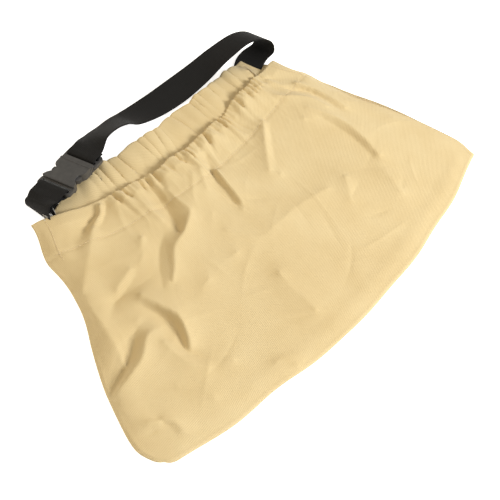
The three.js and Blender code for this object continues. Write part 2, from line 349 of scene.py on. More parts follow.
def area_light(name, position, size, energy, colour=(1, 1, 1)):
    data = bpy.data.lights.new(name, "AREA")
    data.shape = "SQUARE"
    data.size = size
    data.energy = energy
    data.color = colour
    light = bpy.data.objects.new(name, data)
    bpy.context.collection.objects.link(light)
    light.location = position
    light.rotation_euler = (-Vector(position)).to_track_quat("-Z", "Y").to_euler()


FLOOR_REACH, FLOOR_Z = 6000, -0.3


def make_stage():
    """A white floor and soft light: a key from the bottom edge's side, a warm fill, a pale surround."""
    corners = [[(x, y, FLOOR_Z) for x in (-FLOOR_REACH, FLOOR_REACH)] for y in (FLOOR_REACH, -FLOOR_REACH)]
    floor = grid_mesh("floor", np.array(corners, float))
    n = Nodes("floor_white", Roughness=0.9, Specular_IOR_Level=0.1)
    grain = n.noise(n.add("ShaderNodeTexCoord").outputs["Object"], 3.0)
    n.surface("Base Color", n.ramp(grain, [(0.0, (0.93, 0.93, 0.93)), (1.0, (0.96, 0.96, 0.96))]))
    n.shader.inputs["Emission Color"].default_value = (1, 1, 1, 1)
    n.shader.inputs["Emission Strength"].default_value = 0.75
    floor.data.materials.append(n.material)
    world = bpy.data.worlds.new("studio")
    world.use_nodes = True
    background = world.node_tree.nodes["Background"]
    background.inputs["Color"].default_value = (1, 0.97, 0.91, 1)
    background.inputs["Strength"].default_value = 0.4
    scene = bpy.context.scene
    scene.world = world
    scene.view_settings.view_transform = "Standard"
    area_light("key", (0.75, -1.4, 1.1), 0.7, 43.5)
    area_light("top", (-0.2, 0.2, 2.0), 1.2, 6, (1, 0.93, 0.82))
    area_light("fill", (-1.2, 1.5, 1.3), 2.4, 20, (1, 0.8, 0.5))


TWILL = 0.0019   # distance between two twill ribs
CANVAS_TONES = ((0.605, 0.466, 0.24), (0.655, 0.518, 0.283), (0.695, 0.565, 0.325))


def canvas_material():
    """Khaki cotton twill: diagonal ribs over a fine weave, slubs and slow shifts of tone."""
    n = Nodes("canvas", Roughness=0.88, Sheen_Weight=0.25, Sheen_Roughness=0.5, Specular_IOR_Level=0.25)
    n.shader.inputs["Sheen Tint"].default_value = (1.0, 0.93, 0.78, 1)
    cloth, u, v = n.cloth()
    ribs = n.wave(n.math("SUBTRACT", n.times(u, 0.35), v), TWILL)
    warp = n.wave(u, TWILL * 0.8)
    weft = n.wave(v, TWILL * 0.7)
    weave = n.share(ribs, 0.6, n.times(warp, weft))
    slubs = n.noise(cloth, 900.0, 3.0)
    mottle = n.noise(cloth, 22.0, 5.0, 0.6)
    slow = n.noise(cloth, 5.0, 3.0)
    tone = n.share(mottle, 0.45, slow)
    colour = n.ramp(tone, [(0.3, CANVAS_TONES[0]), (0.5, CANVAS_TONES[1]), (0.72, CANVAS_TONES[2])])
    relief = n.times(n.plus(weave, slubs), 0.5)
    threads = n.ramp(relief, [(0.15, (0.78, 0.76, 0.72)), (0.65, (1, 1, 1))])
    n.surface("Base Color", n.mix(0.6, colour, threads, "MULTIPLY"))
    n.surface("Normal", n.bump(slubs, 0.0003, 0.5, n.bump(weave, 0.0004, 0.6)))
    return n.material


def webbing_material():
    """Black woven webbing: fine ribs across the strap, warp lines along it, fuzz and dust."""
    n = Nodes("webbing", Roughness=0.8, Sheen_Weight=0.04, Sheen_Roughness=0.5, Specular_IOR_Level=0.2)
    cloth, u, v = n.cloth()
    weave = n.share(n.wave(u, 0.0013), 0.55, n.wave(v, 0.0021))
    fuzz = n.noise(cloth, 1500.0, 2.0)
    dust = n.noise(cloth, 45.0, 4.0, 0.65)
    tone = n.plus(n.times(weave, 0.5), n.times(n.plus(fuzz, dust), 0.25))
    n.surface("Base Color", n.ramp(tone, [(0.2, (0.003, 0.003, 0.003)), (0.8, (0.0105, 0.01, 0.0095))]))
    n.surface("Normal", n.bump(fuzz, 0.0002, 0.4, n.bump(weave, 0.0003, 0.8)))
    return n.material


def plastic_material():
    """Satin dark grey acetal with a fine mould grain and handling marks."""
    n = Nodes("buckle_plastic", Specular_IOR_Level=0.5)
    place_in_object = n.add("ShaderNodeTexCoord").outputs["Object"]
    grain = n.noise(place_in_object, 1800.0, 3.0)
    marks = n.noise(place_in_object, 130.0, 5.0, 0.7)
    n.surface("Base Color", n.ramp(marks, [(0.3, (0.046, 0.045, 0.044)), (0.7, (0.068, 0.0665, 0.065))]))
    n.surface("Roughness", n.ramp(marks, [(0.35, (0.36, 0.36, 0.36)), (0.7, (0.5, 0.5, 0.5))]))
    n.surface("Normal", n.bump(grain, 0.00008, 0.5))
    return n.material


def thread_material(name, colour):
    """Spun sewing thread, twisted, a little glossier than the cloth."""
    n = Nodes(name, Roughness=0.7, Sheen_Weight=0.3)
    place_in_object = n.add("ShaderNodeTexCoord").outputs["Object"]
    twist = n.noise(place_in_object, 2500.0, 3.0)
    dark = tuple(c * 0.72 for c in colour)
    n.surface("Base Color", n.ramp(twist, [(0.3, dark), (0.65, colour)]))
    n.surface("Normal", n.bump(twist, 0.0001, 0.6))
    return n.material


def elastic_material():
    """White knitted elastic: lengthwise cords with fine cross ribs."""
    n = Nodes("elastic", Roughness=0.8, Sheen_Weight=0.2)
    _, u, v = n.cloth()
    weave = n.share(n.wave(v, 0.0026), 0.7, n.wave(u, 0.0011))
    n.surface("Base Color", n.ramp(weave, [(0.1, (0.55, 0.53, 0.48)), (0.7, (0.84, 0.82, 0.76))]))
    n.surface("Normal", n.bump(weave, 0.0004, 0.8))
    return n.material


canvas = canvas_material()
webbing = webbing_material()
plastic = plastic_material()
thread = thread_material("canvas_thread", (0.73, 0.58, 0.34))
elastic = elastic_material()


# ---- the gathered mouth ----
FRONT_FLAT = (0.17, 0.06)   # shares of the front hem that the elastic leaves flat, left and right
BACK_FLAT = (0.12, 0.03)    # and of the back hem
PLEAT = 15.0                # usual distance between two pleats along the mouth
FULLNESS = 0.62             # extra cloth in each millimetre of gathered mouth


def gather_at(across, flat=FRONT_FLAT):
    """How strongly a hem is gathered: 0 at its sewn ends, 1 in between."""
    share = (across + 1) / 2
    return smooth((share - flat[0]) / 0.07) * smooth((1 - flat[1] - share) / 0.05)


def mouth_spacing(columns):
    """Where evenly cut threads cross the mouth: packed close wherever the hem is gathered."""
    fine = np.linspace(-1, 1, 2001)
    cloth = np.cumsum(1 + FULLNESS * gather_at(fine))
    cloth = 2 * (cloth - cloth[0]) / (cloth[-1] - cloth[0]) - 1
    return np.interp(np.linspace(-1, 1, columns), cloth, fine)


def pleats(x, drop, seed, pitch=PLEAT):
    """Irregular pleats from -1 to 1: sharp valleys between round tops, drifting as they run down."""
    drift = 0.25 * wander(x, seed + 1, 90) + 0.012 * drop * wander(x, seed + 2, 70)
    phase = x / pitch + drift + 0.5 * wander(x, seed, 55)
    wave = np.abs(np.sin(np.pi * phase))
    strength = 0.75 + 0.45 * wander(x, seed + 3, 34)
    return (2 * wave**0.7 - 1) * strength


# ---- creases: where handling has pressed folds into the front panel, in millimetres ----
# Each is a ridge or a valley: a route of points [x, y, height above the ground]. The lines were picked
# in the camera's view and projected on to the bag through it; the heights are judged.
CREASES = (
    # a deep fold that runs in from the left edge: its ridge, then its foot
    ((-203, -24, 9), (-222, -23, 14), (-236, -33, 16), (-249, -40, 16), (-269, -43, 14), (-294, -46, 6)),
    ((-214, 0, 8), (-229, -11, 4.5), (-248, -24, 3.5), (-265, -33, 3), (-290, -42, 2.5)),
    # the ridge of the slope beside the left edge
    ((-242, 56, 7), (-245, 25, 12), (-252, -4, 12), (-261, -32, 7)),
    # a pinched hollow above it, and the thin ridge beside that
    ((-139, 72, 12), (-163, 49, 9), (-192, 37, 6), (-214, 34, 2.5), (-235, 21, 7)),
    ((-179, 50, 12), (-206, 41, 11)),
    # an elbow-shaped fold: ridge, then valley
    ((-193, 19, 12), (-187, -6, 15), (-182, -29, 16), (-191, -53, 14), (-198, -63, 10)),
    ((-202, 13, 7), (-193, -9, 5), (-190, -27, 4), (-195, -46, 4), (-203, -60, 6)),
    # a long low fold towards the bottom edge: ridge, then valley
    ((-215, -39, 13), (-212, -73, 12), (-200, -94, 9)),
    ((-207, -38, 8), (-201, -66, 6), (-193, -82, 6.5), (-174, -105, 8)),
    # the corner between the left edge and the bottom edge
    ((-300, -53, 5.5), (-285, -78, 7), (-274, -100, 6), (-272, -114, 5), (-279, -129, 4)),
    ((-301, -95, 3.5), (-287, -100, 3.5)),
    ((-286, -89, 9), (-266, -108, 9), (-268, -122, 7)),
    ((-232, -113, 7), (-250, -127, 4.5), (-255, -136, 4)),
    ((-239, -83, 9), (-224, -103, 7.5), (-219, -121, 8)),
    # the gathers' deep pinch at the end of the flat left part of the hem
    ((-149, 141, 9), (-156, 131, 6.5), (-170, 128, 5), (-181, 123, 6), (-193, 116, 9)),
    ((-136, 139, 9), (-142, 131, 7), (-157, 120, 7), (-166, 115, 9)),
    ((-144, 137, 16), (-152, 127, 15), (-165, 122, 14)),
    ((-172, 118, 15), (-194, 99, 13), (-216, 80, 12), (-233, 66, 10)),
    # the deepest pleat, which runs down from the hem, and the ridges on both its sides
    ((-86, 136, 8), (-81, 115, 5), (-85, 93, 3), (-91, 68, 3), (-100, 48, 6)),
    ((-105, 133, 13), (-106, 105, 15), (-106, 85, 14), (-104, 74, 12)),
    ((-69, 102, 12), (-72, 79, 15), (-71, 61, 16), (-85, 51, 16), (-105, 42, 15), (-122, 36, 14),
     (-140, 18, 13), (-153, 8, 12)),
    ((-104, 67, 9), (-128, 52, 5), (-147, 36, 5), (-166, 11, 7)),
    # creases across the middle
    ((-158, 10, 9), (-150, -1, 8), (-143, -20, 6.5), (-121, -18, 9)),
    ((-58, 14, 9), (-34, -21, 7.5), (-17, -22, 7.5), (18, -22, 8), (41, -23, 8), (88, -31, 9)),
    ((-52, 42, 10), (-90, 5, 7.5), (-86, -13, 7.5), (-70, -17, 9.5)),
    ((-54, -69, 9), (-59, -93, 7.5), (-61, -130, 8)),
    ((-143, -139, 8), (-130, -145, 7), (-127, -160, 6)),
    # pleats that run far down, each valley between its ridges
    ((9, 109, 6), (-6, 82, 3.5), (-12, 55, 5.5), (-17, 37, 4.5), (-19, 21, 8)),
    ((-16, 97, 14), (-31, 71, 12)),
    ((-1, 84, 14), (-8, 50, 12.5), (-12, 28, 11)),
    ((-28, 99, 14), (-53, 73, 13), (-59, 63, 12)),
    ((79, 135, 6), (85, 108, 5), (90, 94, 8)),
    ((115, 91, 6.5), (90, 66, 5.5), (68, 40, 7), (59, 24, 9)),
    ((108, 99, 13), (80, 69, 12.5), (51, 38, 10.5)),
    # folds that fan out from the right end of the mouth
    ((170, 139, 9), (189, 112, 5), (206, 96, 5), (210, 74, 6), (212, 36, 7.5), (208, 5, 9)),
    ((169, 152, 9), (185, 139, 6.5), (183, 123, 9)),
    ((199, 115, 14), (213, 82, 12), (221, 41, 10.5)),
    ((156, 116, 13), (190, 86, 13.5), (200, 57, 12)),
    ((158, 66, 9), (180, 47, 7), (185, 22, 5.5), (186, -6, 5), (180, -38, 5.5), (170, -71, 7),
     (159, -102, 8.5)),
    ((175, 74, 12.5), (193, 31, 12.5), (194, -5, 12), (187, -44, 10.5)),
    ((122, -35, 9), (96, -63, 8)),
)
CREASE_REACH = 26.0    # how far a crease pulls the cloth beside it
CREASE_STEPS = 24      # held spots from each point of a crease to its next
CREASE_PASSES = 1400   # until the cloth between the creases has come to rest
CREASE_EASE = 2        # smoothing passes that round the creases' lines


def mean_around(grid):
    """The mean of the four neighbours of every point in a grid, whose edges repeat outwards."""
    g = np.pad(grid, [(1, 1), (1, 1)] + [(0, 0)] * (grid.ndim - 2), mode="edge")
    return (g[:-2, 1:-1] + g[2:, 1:-1] + g[1:-1, :-2] + g[1:-1, 2:]) / 4


def creased(points):
    """Pulls the cloth onto its creases and lets it run straight between them, like a tent."""
    x, y, height = (points[..., i] for i in range(3))
    pull = np.zeros(height.shape)
    held = np.zeros(height.shape, bool)
    for crease in CREASES:
        for spot in centripetal(crease, CREASE_STEPS):
            nearest = np.unravel_index(np.argmin((x - spot[0]) ** 2 + (y - spot[1]) ** 2), height.shape)
            pull[nearest] = spot[2] - height[nearest]
            held[nearest] = True
    pitch = CLOTH_DEPTH / (len(points) - 1)
    keep = 1 - (pitch / CREASE_REACH) ** 2 / 4
    change = np.where(held, pull, 0.0)
    for _ in range(CREASE_PASSES):
        change = np.where(held, pull, mean_around(change) * keep)
        change[:, [0, -1]] = 0
        change[-1] = 0
    for _ in range(CREASE_EASE):
        change = (change + mean_around(change)) / 2
    return height + change


WRINKLES = 46   # small wrinkles that handling left between the big creases


def wrinkled(x, y):
    """Small sharp ridges and valleys, each bent a little and fading at its ends."""
    rng = np.random.default_rng(WRINKLE_SEED)
    total = np.zeros_like(x)
    for _ in range(WRINKLES):
        middle_x, middle_y = rng.uniform(-265, 265), rng.uniform(-150, 120)
        heading, bend = rng.uniform(0, math.pi), rng.uniform(-0.006, 0.006)
        length, width = rng.uniform(14, 46), rng.uniform(2.6, 5.5)
        depth = rng.choice((-1, 1)) * rng.uniform(0.4, 1.1)
        ahead = (x - middle_x) * math.cos(heading) + (y - middle_y) * math.sin(heading)
        aside = (y - middle_y) * math.cos(heading) - (x - middle_x) * math.sin(heading) - bend * ahead**2
        total += depth * np.exp(-np.abs(aside) / width - (ahead / length) ** 2)
    return total


def finer(grid):
    """The same surface with a new row and column between every two, on smooth curves."""
    for axis in (0, 1):
        g = np.moveaxis(grid, axis, 0)
        before = np.concatenate([2 * g[:1] - g[1:2], g[:-2]])
        after = np.concatenate([g[2:], 2 * g[-1:] - g[-2:-1]])
        between = (9 * (g[:-1] + g[1:]) - before - after) / 16
        out = np.empty((2 * len(g) - 1, *g.shape[1:]))
        out[::2] = g
        out[1::2] = between
        grid = np.moveaxis(out, 0, axis)
    return grid


# ---- front panel: a cut rectangle of canvas, gathered and settled by cloth simulation ----
COLUMNS, ROWS = 172, 92
HEM_STOPS = (-1, -0.86, -0.72, -0.5, 0, 0.5, 0.85, 1)
HEM_HEIGHTS = (8, 14, 15, 12, 11, 12, 13, 12)
PINNED_DROP = 16.0   # the elastic holds the pleats this far down the hem
FLOOR_GAP = 1.7      # the front panel's canvas meets the back panel's at this height
BODY_HEIGHT = 7.5    # usual height of the panel's middle
SIDE_REACH = 36.0    # how far in the sides are rounded down, beyond their first 10 mm
BOTTOM_REACH = 52.0  # and the bottom


def front_base(across, down):
    """The front panel before its folds: rounded down to the seams, low in its middle."""
    half = along(FRONT_SIDES, SIDE_STOPS, down)
    to_side = (1 - np.abs(across)) * half
    to_bottom = (1 - down) * CLOTH_DEPTH
    hem = along(HEM_HEIGHTS, HEM_STOPS, across)
    swell = 2.5 * wander(across * 300 + down * 140, SWELL_SEED, 260)
    body = BODY_HEIGHT + swell + 1.5 * wander(down * 300, SAG_SEED, 210)
    height = body + (hem - body) * (1 - smooth(down / 0.3))
    side = smooth(to_side / (10 + SIDE_REACH * smooth((down - 0.05) / 0.3)))
    bottom = smooth(to_bottom / BOTTOM_REACH)
    side = side + (1 - side) * 0.75 * (1 - smooth(down / 0.12))
    lowest = FLOOR_GAP * smooth(np.minimum(to_side, to_bottom) / 3 + 3 * (1 - smooth(down / 0.2)))
    return lowest + CANVAS / 2 + (height - FLOOR_GAP) * side * bottom


WAVE_HEIGHT = 5.0   # of the hem's pleats
RUFFLE_HEIGHT, RUFFLE_PITCH = 1.6, 7.0   # of the small ruffles on them


def panel_grid(eased_by):
    """Every point's share across the cut cloth and down it, and across the gathered panel."""
    cut, down = np.meshgrid(np.linspace(-1, 1, COLUMNS), np.linspace(0, 1, ROWS))
    at_mouth = np.broadcast_to(mouth_spacing(COLUMNS), cut.shape)
    return cut, down, at_mouth + (cut - at_mouth) * smooth(down / eased_by)


def front_start():
    """Points of the front panel in its gathered outline, with the pleats set in its hem."""
    cut, down, across = panel_grid(0.75)
    x, y = on_panel(FRONT_SIDES, front_mouth, across, down)
    drop = down * CLOTH_DEPTH
    gathered = gather_at(across)
    at_edge = 0.55 + 0.45 * smooth(drop / 9)
    fading = np.exp(-np.clip(drop - 12, 0, None) / 42)
    wave = pleats(x, drop, FRONT_PLEAT_SEED) * gathered * at_edge * fading
    ruffles = pleats(x, drop, RUFFLE_SEED, RUFFLE_PITCH) * gathered * np.exp(-drop / 13)
    z = front_base(across, down) + WAVE_HEIGHT * wave + RUFFLE_HEIGHT * ruffles
    y = y + 1.6 * wander(x, FRONT_HEM_SEED, 38) * gathered * (1 - smooth(drop / 60))
    return np.stack([x, y, z], -1), cut, down, drop


SETTLING_FRAMES = 26


def settle(points, cut, down, pinned):
    """Blender's cloth solver: rest lengths of the flat cut, started from the gathered outline."""
    start = grid_mesh("front_cloth", points)
    start.shape_key_add(name="gathered")
    flat = start.shape_key_add(name="cut")
    cut_points = np.stack([cut * CLOTH_WIDTH / 2, -down * CLOTH_DEPTH, 0 * down], -1) * MM
    flat.data.foreach_set("co", cut_points.ravel())
    start.active_shape_key_index = 0
    group = start.vertex_groups.new(name="pinned")
    for index in np.flatnonzero(pinned.ravel() > 0):
        group.add([int(index)], float(pinned.ravel()[index]), "REPLACE")
    cloth = start.modifiers.new("Cloth", "CLOTH")
    fabric = cloth.settings
    fabric.quality = 7
    fabric.mass = 0.32
    fabric.tension_stiffness = fabric.compression_stiffness = 12
    fabric.shear_stiffness = 4
    fabric.bending_stiffness = 0.35
    fabric.tension_damping = fabric.compression_damping = 12
    fabric.bending_damping = 0.6
    fabric.air_damping = 4
    fabric.vertex_group_mass = "pinned"
    fabric.pin_stiffness = 1
    fabric.rest_shape_key = flat
    cloth.collision_settings.use_collision = True
    cloth.collision_settings.distance_min = 0.001
    cloth.collision_settings.use_self_collision = False
    cloth.point_cache.frame_start = 1
    cloth.point_cache.frame_end = SETTLING_FRAMES
    bpy.ops.mesh.primitive_plane_add(size=1.6, location=(0, 0, FLOOR_GAP * MM))
    floor = bpy.context.object
    floor.modifiers.new("Collision", "COLLISION")
    floor.collision.thickness_outer = 0.001
    scene = bpy.context.scene
    for number in range(1, SETTLING_FRAMES + 1):
        scene.frame_set(number)
    settled = evaluated(start).data
    coordinates = np.empty(len(settled.vertices) * 3)
    settled.vertices.foreach_get("co", coordinates)
    scene.frame_set(1)
    bpy.data.objects.remove(floor)
    bpy.data.objects.remove(start)
    return coordinates.reshape(points.shape) / MM


def eased(points, free):
    """Takes wrinkles as small as the grid out of a surface, and leaves its held points alone."""
    for _ in range(EASE_PASSES):
        points = np.where(free[..., None], (points + mean_around(points)) / 2, points)
    return points


EASE_PASSES = 3    # after the cloth has settled
HEM_GROOVE = 0.9   # depth of the line that the hem's stitches pull in


def front_outer():
    """The settled front panel with its pressed folds, and where each point lies on the cut cloth."""
    points, cut, down, drop = front_start()
    pinned = np.zeros(cut.shape)
    pinned[:, [0, -1]] = 1
    pinned[-1] = 1
    pinned[drop <= PINNED_DROP] = 1
    laid = points[..., 2]
    points = settle(points, cut, down, pinned)
    points = eased(points, pinned < 1)
    to_edge = np.minimum((1 - np.abs(cut)) * CLOTH_WIDTH / 2, (1 - down) * CLOTH_DEPTH)
    points[..., 2] = laid + (points[..., 2] - laid) * smooth((to_edge - 4) / 30)
    points, cut, down, drop, to_edge = (finer(grid) for grid in (points, cut, down, drop, to_edge))
    points[..., 2] -= HEM_GROOVE * np.exp(-((drop - CASING + 2) / 2.2) ** 2)
    change = creased(points) - points[..., 2] + wrinkled(points[..., 0], points[..., 1])
    change = change * smooth(to_edge / 12)
    edge = np.minimum(to_edge / 3 + 3 * (1 - smooth(down / 0.2)), 1)
    lowest = CANVAS / 2 + (FLOOR_GAP - CANVAS / 2) * edge
    points[..., 2] = np.maximum(points[..., 2] + change, lowest)
    cloth = np.stack([cut * CLOTH_WIDTH / 2, -down * CLOTH_DEPTH], -1)
    return points, cloth


# ---- panels ----
# The casing's rows, by their drops below the mouth, and then round the hem's fold, in degrees.
LAYER_STOPS = (50, 47.5, 45, 41, 36, 31, 26, 21, 16.5, 12.5, 9, 6, 3.5, 1.5)
FOLD_TURNS = (165, 130, 90, 50, 20)
CLOSED_LAYERS = 1.06   # between the middles of two layers sewn together, in canvas thicknesses


def at_drop(grid, drop):
    """Reads a grid of points, or of normals, at a drop below the mouth."""
    exact = drop / CLOTH_DEPTH * (len(grid) - 1)
    row = int(exact)
    return grid[row] + (grid[row + 1] - grid[row]) * (exact - row)


def with_casing(points, cloth, side):
    """Folds a panel's hem over, on top of the panel where side is 1, or below it where side is -1."""
    up = normals(points)
    rows = []
    for drop in LAYER_STOPS:
        closing = smooth((drop - 40) / 8)
        offset = 2 * FOLD_RADIUS * (1 - closing) + CLOSED_LAYERS * CANVAS * closing
        rows.append(at_drop(points, drop) + side * offset * at_drop(up, drop))
    outward = points[0] - points[1]
    outward /= np.linalg.norm(outward, axis=-1, keepdims=True)
    for degrees in FOLD_TURNS:
        a = math.radians(degrees)
        across_fold = side * FOLD_RADIUS * up[0] * (1 - math.cos(a))
        rows.append(points[0] + across_fold + outward * FOLD_RADIUS * math.sin(a))
    casing = np.array(rows)
    casing[..., 2] = np.maximum(casing[..., 2], FLOOR_GAP)
    along_cloth = np.array([*LAYER_STOPS, *(degrees * 0.01 for degrees in FOLD_TURNS)])
    casing_cloth = np.stack(np.broadcast_arrays(cloth[0, :, 0], along_cloth[:, None]), -1)
    return np.concatenate([casing, points]), np.concatenate([casing_cloth, cloth])


def canvas_sheet(name, points, cloth, *nodes):
    """A finished panel: canvas of its real thickness."""
    obj = grid_mesh(name, points, cloth)
    obj.data.materials.append(canvas)
    modifier(obj, "SOLIDIFY", thickness=CANVAS * MM, offset=0)
    return place(obj, "bag", "canvas", *nodes)


BACK_PLEAT = 17.0
PINCHES = ((-98, 26, 0.9), (150, 22, 0.6))   # where its gathers are tight: place, reach, extra height


def back_outer():
    """The back panel flat on the ground, its hem gathered and its casing standing off a little."""
    cut, down, across = panel_grid(0.7)
    x, y = on_panel(BACK_SIDES, back_mouth, across, down)
    tuck = 1.2 * smooth(down / 0.25)   # its edges end just inside the front panel's
    x = x * (1 - tuck / HALF_BOTTOM)
    y = y + tuck * down
    drop = down * CLOTH_DEPTH
    gathered = gather_at(across, BACK_FLAT)
    fading = np.exp(-np.clip(drop - 26, 0, None) / 30)
    tight = 0.65
    for middle, reach, extra in PINCHES:
        tight = tight + extra * np.exp(-((x - middle) / reach) ** 2)
    wave = pleats(x, drop, BACK_PLEAT_SEED, BACK_PLEAT) * gathered * fading * tight
    slow = wander(x, BACK_SAG_SEED, 120) * (1 - smooth(drop / 70)) * gathered
    lift = 2.2 * (gathered + wave) + 2.2 * (1 + slow) * (1 - smooth(drop / 60)) * gathered
    lift *= 1 - 0.75 * smooth((drop - 14) / 26)
    ragged = 3.5 + 0.5 * wave + 1.8 * wander(x, BACK_HEM_SEED, 46)
    y = y + ragged * gathered * (1 - smooth(drop / 50))
    z = CANVAS / 2 + np.maximum(lift * (1 - smooth((drop - 40) / 120)), 0)
    cloth = np.stack([cut * CLOTH_WIDTH / 2, -down * CLOTH_DEPTH], -1)
    return finer(np.stack([x, y, z], -1)), finer(cloth)


ELASTIC_DROPS = np.linspace(9, 43, 18)   # of the band's rows, below the mouth
ELASTIC_THICKNESS = 1.1


def elastic_band(name, points, side, first, last, node):
    """White elastic inside a casing, half way between its two layers."""
    up = normals(points)
    rows = [at_drop(points, drop) + side * FOLD_RADIUS * at_drop(up, drop) for drop in ELASTIC_DROPS]
    band = np.array(rows)[:, first:last]
    length = np.linalg.norm(np.diff(band[0], axis=0), axis=-1).cumsum()
    u = np.broadcast_to(np.concatenate([[0], length]), band.shape[:2])
    v = np.broadcast_to(ELASTIC_DROPS[:, None], band.shape[:2])
    obj = grid_mesh(name, band, np.stack([u, v], -1))
    obj.data.materials.append(elastic)
    modifier(obj, "SOLIDIFY", thickness=ELASTIC_THICKNESS * MM, offset=0)
    return place(obj, "bag", "elastic", node)


front_points, front_cloth = front_outer()
front_folded, front_folded_cloth = with_casing(front_points, front_cloth, -1)
front_panel = canvas_sheet("front_panel_canvas", front_folded, front_folded_cloth, "front_panel")
back_points, back_cloth = back_outer()
back_folded, back_folded_cloth = with_casing(back_points, back_cloth, 1)
back_panel = canvas_sheet("back_panel_canvas", back_folded, back_folded_cloth, "back_panel")
elastic_band("front_elastic_band", front_points, -1, 20, 2 * COLUMNS - 12, "front_elastic")
elastic_band("back_elastic_band", back_points, 1, 48, 2 * COLUMNS - 52, "back_elastic")


# ---- webbing ----
WEBBING_WIDTH, WEBBING_THICKNESS = 40.0, 1.6


def webbing_section():
    """Round-edged section of the webbing: across and height, once round."""
    half = WEBBING_THICKNESS / 2
    flat = np.linspace(-1, 1, 15) * (WEBBING_WIDTH / 2 - half)
    turn = np.radians((-60, -30, 0, 30, 60))
    right = [(flat[-1] + half * math.cos(a), half * math.sin(a)) for a in turn]
    left = [(-x, -z) for x, z in right]
    return np.array([(x, -half) for x in flat] + right + [(x, half) for x in flat[::-1]] + left)


def close_ends(obj):
    shape = bmesh.new()
    shape.from_mesh(obj.data)
    bmesh.ops.holes_fill(shape, edges=[e for e in shape.edges if e.is_boundary], sides=0)
    bmesh.ops.recalc_face_normals(shape, faces=shape.faces)
    shape.to_mesh(obj.data)
    shape.free()


STRAP_STEPS = 10   # from each station to the next


def strap(name, stations):
    """Webbing whose middle runs through stations [x, y, z, width direction], in millimetres."""
    stations = np.asarray(stations, float)
    middle = centripetal(stations[:, :3], STRAP_STEPS)
    across = centripetal(stations[:, 3:], STRAP_STEPS)
    across /= np.linalg.norm(across, axis=1, keepdims=True)
    face = np.cross(np.gradient(middle, axis=0), across)
    face /= np.linalg.norm(face, axis=1, keepdims=True)
    section = webbing_section()
    points = middle[:, None] + across[:, None] * section[None, :, :1] + face[:, None] * section[None, :, 1:]
    length = np.concatenate([[0], np.linalg.norm(np.diff(middle, axis=0), axis=1).cumsum()])
    u = np.broadcast_to(length[:, None], points.shape[:2])
    v = np.broadcast_to(section[:, 0], points.shape[:2])
    obj = grid_mesh(name, points, np.stack([u, v], -1), closed=True)
    close_ends(obj)
    obj.data.materials.append(webbing)
    return obj


BUCKLE = {"x": -142.5, "y": MOUTH_Y + 25, "z": 13.5, "yaw": 12.8, "tilt": -11.5}
BUCKLE_PLACE = (Matrix.Translation((BUCKLE["x"], BUCKLE["y"], BUCKLE["z"]))
                @ Matrix.Rotation(math.radians(BUCKLE["yaw"]), 4, "Z")
                @ Matrix.Rotation(math.radians(BUCKLE["tilt"]), 4, "X"))


def in_buckle(points):
    """Stations for a strap that lies square in the buckle, from [x, z] in the buckle's frame."""
    across = BUCKLE_PLACE.to_3x3() @ Vector((0, 1, 0))
    return [[*(BUCKLE_PLACE @ Vector((x, 0, z))), *across] for x, z in points]


def from_mouth(stations):
    """Stations whose y was given from the mouth's corner line."""
    return [[x, y + MOUTH_Y, *rest] for x, y, *rest in stations]


# Beyond the buckle, both straps' routes are fitted to their edges in the camera's view.
LONG_STRAP = in_buckle([
    (44, 3.6), (41, 3.7), (38.5, 3.6), (35, 1.2), (34.2, -1.2), (32, -4), (29, -4.1),
    (26.2, -2.6), (25.8, 1), (26.6, 4.6), (30, 6), (36, 6.3), (43, 6.6),
]) + from_mouth([
    (-81, 44, 19, -0.21, 0.83, -0.51), (-61, 47, 17, -0.17, 0.81, -0.55),
    (-41, 48, 14, -0.12, 0.88, -0.46), (-23, 47, 8, -0.03, 0.96, -0.26),
    (18, 46, 3.5, 0, 1, 0), (60, 45, 6, 0, 0.99, 0.13),
    (100, 44, 14, 0.05, 1, 0), (139, 42, 28, 0.14, 0.97, -0.2), (179, 36, 40, 0.16, 0.93, -0.33),
    (198, 28, 39, 0.14, 0.92, -0.36), (209, 21, 31, 0.1, 0.92, -0.38), (209, 17, 20, 0, 0.95, -0.3),
    (196, 20, 10.5, -0.2, 0.96, -0.18), (183, 18, 5.2, -0.38, 0.92, -0.06), (172, 12, 2.7, -0.48, 0.88, 0),
    (163, 5, 2.5, -0.52, 0.855, 0),
])
SHORT_STRAP = in_buckle([
    (-47, 1.6), (-38, 0.2), (-33, -2.6), (-28.5, -4.2), (-24.6, -3.6),
    (-23.4, 0), (-24.6, 3.4), (-28.5, 4.4), (-36, 4.3), (-44, 4.4),
]) + from_mouth([
    (-193, 14.2, 17, -0.19, 0.91, -0.36), (-197, 13.4, 16.4, -0.18, 0.91, -0.38),
    (-198.6, 12.6, 14.5, -0.16, 0.91, -0.38), (-200.5, 10, 10, -0.1, 0.94, -0.32),
    (-200.5, 6, 6, -0.03, 0.97, -0.16), (-197, 2, 3.6, 0.08, 0.99, -0.06),
    (-188, -1, 2.8, 0.12, 0.99, 0), (-176, -2, 2.8, 0.12, 0.99, 0),
])

long_strap = strap("long_strap_webbing", LONG_STRAP)
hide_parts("long_strap")
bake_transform(long_strap)
short_strap = place(strap("short_strap_webbing", SHORT_STRAP), "bag", "webbing", "short_strap")


# ---- thread work ----
def resampled(path, pitch):
    """Places along a path, pitch apart, and the direction of the path there."""
    path = np.asarray(path, float)
    passed = np.concatenate([[0], np.linalg.norm(np.diff(path, axis=0), axis=1).cumsum()])
    at = np.arange(pitch / 2, passed[-1], pitch)
    spots, ahead, behind = (np.stack([np.interp(at + shift, passed, path[:, i]) for i in range(3)], -1)
                            for shift in (0, 0.3, -0.3))
    direction = ahead - behind
    return spots, direction / np.maximum(np.linalg.norm(direction, axis=1, keepdims=True), 1e-9)


